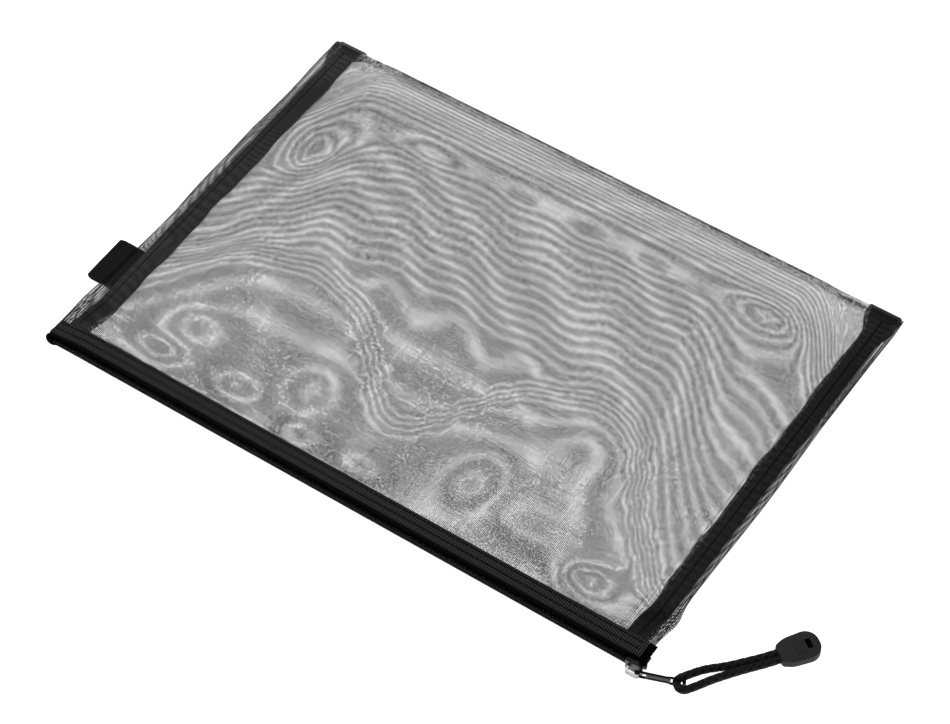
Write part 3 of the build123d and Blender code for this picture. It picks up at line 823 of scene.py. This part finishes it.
def make_band(name, side):
    """Tape folded round the raw edges: upper leg, fold at the inner edge, lower leg."""
    rows = np.linspace(-112, 120.3, 118)
    depth = 13.2 + 0.45 * np.sin(rows / 9.5 + side) + 0.3 * np.sin(rows / 4.1)
    if side > 0:
        depth = depth + 4.5 * ease(103, 117, rows)
    else:
        depth = depth + 3.6 * ease(112.5, 114.5, rows)
    # the section: share of the way in from the outer edge, and height off the seam's middle
    fold_share, fold_height = [0.97, 0.99, 1.0, 0.99, 0.97], [0.6, 0.35, 0.0, -0.35, -0.6]
    share = np.concatenate([np.linspace(0.01, 0.94, 9), fold_share, np.linspace(0.94, 0.01, 5)])
    height = np.concatenate([np.full(9, leg_height), fold_height, np.full(5, -leg_height)])
    set_in = (5.2 if side < 0 else 3.6) * (1 - 0.8 * ease(98, 111, rows))
    depth = depth + (0.9 if side < 0 else -0.3)
    corner = 4.0 if side < 0 else 1.5
    set_in = set_in + corner * (1 - np.sqrt(1 - np.clip((rows - 116.5) / 4.6, 0, 0.99) ** 2))
    x = side * (half_width - set_in[:, None] - share[None, :] * (depth + 1.4 - set_in)[:, None])
    y = np.repeat(rows[:, None], len(share), axis=1)
    z = seam_middle(y) + height[None, :]
    band = piece_from(name, np.stack([x, y, z], axis=-1), grid_faces(len(rows), len(share)))
    apply_modifier(band, "SOLIDIFY", thickness=band_thick * mm, offset=0.0)
    outward(band)
    smooth(band, 50)
    return band


left_band = make_band("left_binding_tape", -1)
settle(left_band, "wallet", "binding_tape", binding_painted_light, "left_seam_binding")
right_band = make_band("right_binding_tape", 1)
settle(right_band, "wallet", "binding_tape", binding_painted_shade, "right_seam_binding")


# %% Rows of stitches
seam_x, seam_start, seam_length, seam_pitch, stitch_height = 161.5, -105.0, 221, 2.9, 0.97


def stitch_row(name, length, pitch, width):
    """A row of stitches along X from the origin: one spindle of thread, repeated."""
    bpy.ops.object.select_all(action="DESELECT")
    bpy.ops.mesh.primitive_uv_sphere_add(segments=8, ring_count=6, radius=0.5)
    row = bpy.context.object
    row.name = name
    row.rotation_euler = (0, math.pi / 2, 0)
    bpy.ops.object.transform_apply(rotation=True)
    row.scale = (1.05 * pitch * mm, width * mm, 0.6 * width * mm)
    bpy.ops.object.transform_apply(scale=True)
    apply_modifier(
        row, "ARRAY", count=int(length / pitch), use_relative_offset=False,
        use_constant_offset=True, constant_offset_displace=(pitch * mm, 0, 0),
    )
    smooth(row, 60)
    return row


def seam_row(name, side):
    """Stitches along a side seam, above and below the band, following its climb to the zip."""
    width = 0.7 if side < 0 else 1.2
    row = stitch_row(name, seam_length, seam_pitch, width)
    other = stitch_row(name + "_under", seam_length, seam_pitch, width)
    for piece, height in ((row, stitch_height), (other, -stitch_height)):
        for vertex in piece.data.vertices:
            y = seam_start + vertex.co.x / mm
            x = side * seam_x + vertex.co.y / mm
            z = float(seam_middle(y)) + height + vertex.co.z / mm
            vertex.co = (x * mm, y * mm, z * mm)
    only(row)
    other.select_set(True)
    bpy.ops.object.join()
    outward(row)
    return row


for side, word in ((-1, "left"), (1, "right")):
    row = seam_row(word + "_seam_stitches", side)
    settle(row, "wallet", "thread", thread_yarn, word + "_seam_stitching")

# %% [markdown]
# ## The zip
# Two ribbed tapes lie on the panels' front edges, curl over the edge and meet at the chain. Each
# tape is sewn down with two rows of stitches, and carries a coil of nylon: a row of loops that hook
# between the loops of the other half. The loops are one stretched ring, repeated along the tape.


# %% Zip tapes
tape_left, tape_inner, tape_thick, flap_thick = -167.6, -110.8, 0.6, 0.5
curl_radius, curl_inset = 1.1, 1.4


def tape_profile():
    """The upper tape's section from its inner edge to the chain: (y, z)."""
    middle_y, middle_z = face_y + curl_inset, face_top - curl_inset
    curl = [
        (middle_y - curl_radius * math.sin(a), middle_z + curl_radius * math.cos(a))
        for a in np.linspace(0, math.pi / 2, 6)
    ]
    flat = [(y, face_top - tape_thick / 2) for y in np.linspace(tape_inner, -117.8, 8)]
    drop = [(face_y + tape_thick / 2, z) for z in (9.6, 8.5, 7.5)]
    return np.array(flat + curl + drop)


def make_tape(name, lower, right_end):
    """One tape, with its left end cut a little askew."""
    profile = tape_profile()
    stations = np.linspace(tape_left, right_end, 124)
    near_face = np.clip((tape_inner - profile[:, 0]) / 8.9, 0, 1)
    x = stations[:, None] - near_face[None, :] * ease(tape_left + 12, tape_left, stations)[:, None]
    y = np.repeat(profile[None, :, 0], len(stations), axis=0)
    z = np.repeat(profile[None, :, 1], len(stations), axis=0)
    wave = 0.12 * np.sin(stations / 23.0)[:, None] * (1 - near_face)[None, :]
    z = np.minimum(z + wave, face_top - tape_thick / 2)
    z = (face_top - z if lower else z) * droop(stations)[:, None]
    tape = piece_from(name, np.stack([x, y, z], axis=-1), grid_faces(len(stations), len(profile)))
    apply_modifier(tape, "SOLIDIFY", thickness=tape_thick * mm, offset=0.0)
    outward(tape)
    smooth(tape, 50)
    return tape


def end_flap(name, top_x, bottom_x, out, front):
    """The turned-in end of both tapes: a soft strip that bows out and shuts the zip's end."""
    row_count, column_count, back = 13, 9, -111.5
    rows, columns = np.linspace(-1, 1, row_count), np.linspace(0, 1, column_count)
    bow_up = np.sqrt(np.clip(1 - ((rows + 0.4) / 1.4) ** 2, 0, 1))
    bow = bow_up[:, None] * np.sin(np.pi * (columns * 0.8 + 0.2))[None, :]
    spots = np.stack([
        (top_x + (bottom_x - top_x) * (1 - rows) / 2)[:, None] + out * bow,
        front + (back - front) * np.repeat(columns[None, :], row_count, axis=0),
        (zip_z + 5.5 * np.repeat(rows[:, None], column_count, axis=1)) * float(droop(top_x)),
    ], axis=-1)
    flap = piece_from(name, spots, grid_faces(row_count, column_count))
    apply_modifier(flap, "SOLIDIFY", thickness=flap_thick * mm, offset=0.0)
    outward(flap)
    smooth(flap, 50)
    return flap


for word, right_end in (("upper", 174.0), ("lower", 171.0)):
    tape = make_tape(word + "_zip_tape", word == "lower", right_end)
    settle(tape, "wallet", "zip_tape", tape_cloth, "zip_tape_" + word)
settle(end_flap("right_zip_end", 173.4, 170.2, 0.3, -119.4), "wallet", "zip_tape", flap_cloth)
settle(end_flap("left_zip_end", -167.4, -167.6, -0.8, -119.4), "wallet", "zip_tape", flap_cloth)
# the tapes' left end is tucked in as a small soft lump
bpy.ops.object.select_all(action="DESELECT")
bpy.ops.mesh.primitive_uv_sphere_add(segments=20, ring_count=12, radius=1.0)
tuck = bpy.context.object
tuck.name = "left_zip_tuck"
tuck.scale = (4.0 * mm, 2.6 * mm, 3.3 * mm)
tuck.location = (-168.0 * mm, -119.3 * mm, 3.6 * mm)
bpy.ops.object.transform_apply(location=True, scale=True)
smooth(tuck, 60)
settle(tuck, "wallet", "zip_tape", flap_cloth)


# %% Stitches through the tapes
row_start, row_length, row_pitch, row_width, row_places = -166.0, 336, 2.7, 1.0, (-112.5, -116.4)


def tape_rows(name, height):
    """Two rows of stitches along a tape."""
    rows = []
    for number, y in enumerate(row_places):
        row = stitch_row(f"{name}_{number}", row_length, row_pitch, row_width)
        for vertex in row.data.vertices:
            x = vertex.co.x / mm + row_start
            z = (vertex.co.z + height * mm) * float(droop(x))
            vertex.co = (x * mm, vertex.co.y + y * mm, z)
        rows.append(row)
    only(rows[0])
    rows[1].select_set(True)
    bpy.ops.object.join()
    rows[0].name = name
    return rows[0]


for word, height in (("upper", 12.42), ("lower", 1.1)):
    rows = tape_rows(word + "_tape_stitches", height)
    settle(rows, "wallet", "thread", thread_yarn, "zip_topstitch_" + word)


# %% Coils
coil_start, coil_pitch, coil_loops = -165.0, 1.27, 262


def make_coil(name, lower):
    """Half of the chain: stretched rings, one for each pitch, hooked past the middle line."""
    sign = -1 if lower else 1
    first = coil_start + (coil_pitch / 2 if lower else 0.0)
    bpy.ops.object.select_all(action="DESELECT")
    bpy.ops.mesh.primitive_torus_add(
        major_segments=12, minor_segments=4, major_radius=1.0, minor_radius=0.36,
        location=(0, 0, 0), rotation=(0, math.pi / 2, 0),
    )
    coil = bpy.context.object
    coil.name = name
    bpy.ops.object.transform_apply(rotation=True)
    for vertex in coil.data.vertices:
        x, y, z = vertex.co
        reach = math.hypot(y, z)
        y, z = y * 0.56 + 0.1 * y / reach, z * 0.95 + 0.07 * z / reach
        spot = (first + 0.8 * x + 0.1 * z, face_y - 0.9 + y, zip_z + sign * (0.94 + z))
        vertex.co = [v * mm for v in spot]
    apply_modifier(
        coil, "ARRAY", count=coil_loops, use_relative_offset=False,
        use_constant_offset=True, constant_offset_displace=(coil_pitch * mm, 0, 0),
    )
    for vertex in coil.data.vertices:
        vertex.co.z *= float(droop(vertex.co.x / mm))
    outward(coil)
    smooth(coil, 70)
    return coil


for word in ("upper", "lower"):
    coil = make_coil(word + "_zip_coil", word == "lower")
    settle(coil, "wallet", "zip_coil", coil_nylon, "zip_coil_" + word)

# %% [markdown]
# ## The side loop
# A short piece of webbing is folded in two and caught in the left seam, to hang the wallet up. It
# is a strip along its folded section, with a rounded folded end and corners worn a little round.

# %% Webbing loop
fold_x, tail_x, loop_y, loop_z, loop_half = -180.8, -161.5, -64.0, 1.7, 14.0
layer_off, webbing_thick, corner_length = 0.62, 0.38, 4.8
bend = np.linspace(math.pi / 2, 3 * math.pi / 2, 9)
section = [(x, layer_off) for x in np.linspace(tail_x, fold_x + 1.2, 10)]
section += [(fold_x + 1.0 + layer_off * math.cos(a), layer_off * math.sin(a)) for a in bend]
section += [(x, -layer_off) for x in np.linspace(fold_x + 1.2, tail_x, 10)]
section = np.array(section)
pinch = 1 - 0.68 * ease(-172.5, -169.0, section[:, 0])
across = np.linspace(-loop_half, loop_half, 21)
out = np.clip(-176.0 - section[:, 0], 0, corner_length)
narrow = 1 - 0.12 * (out / corner_length) ** 4
y = loop_y + across[:, None] * narrow[None, :]
x = np.repeat(section[None, :, 0], len(across), axis=0)
z = loop_z + np.repeat((section[:, 1] * pinch)[None, :], len(across), axis=0)
faces = grid_faces(len(across), len(section))
loop = piece_from("webbing_loop", np.stack([x, y, z], axis=-1), faces)
apply_modifier(loop, "SOLIDIFY", thickness=webbing_thick * mm, offset=0.0)
outward(loop)
smooth(loop, 50)
settle(loop, "wallet", "webbing", webbing_cloth, "side_loop")

# %% [markdown]
# ## Slider and pull tab
# The slider and the tab are small castings, and their CAD solids already have the right shape, so
# they stay and only get their plating.

# %% Metal parts
for node, plating in (("slider_body", nickel), ("pull_tab", dark_nickel)):
    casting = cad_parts[node]
    casting.data.materials.clear()
    casting.data.materials.append(plating)
    print(node, "plated with", plating.name)
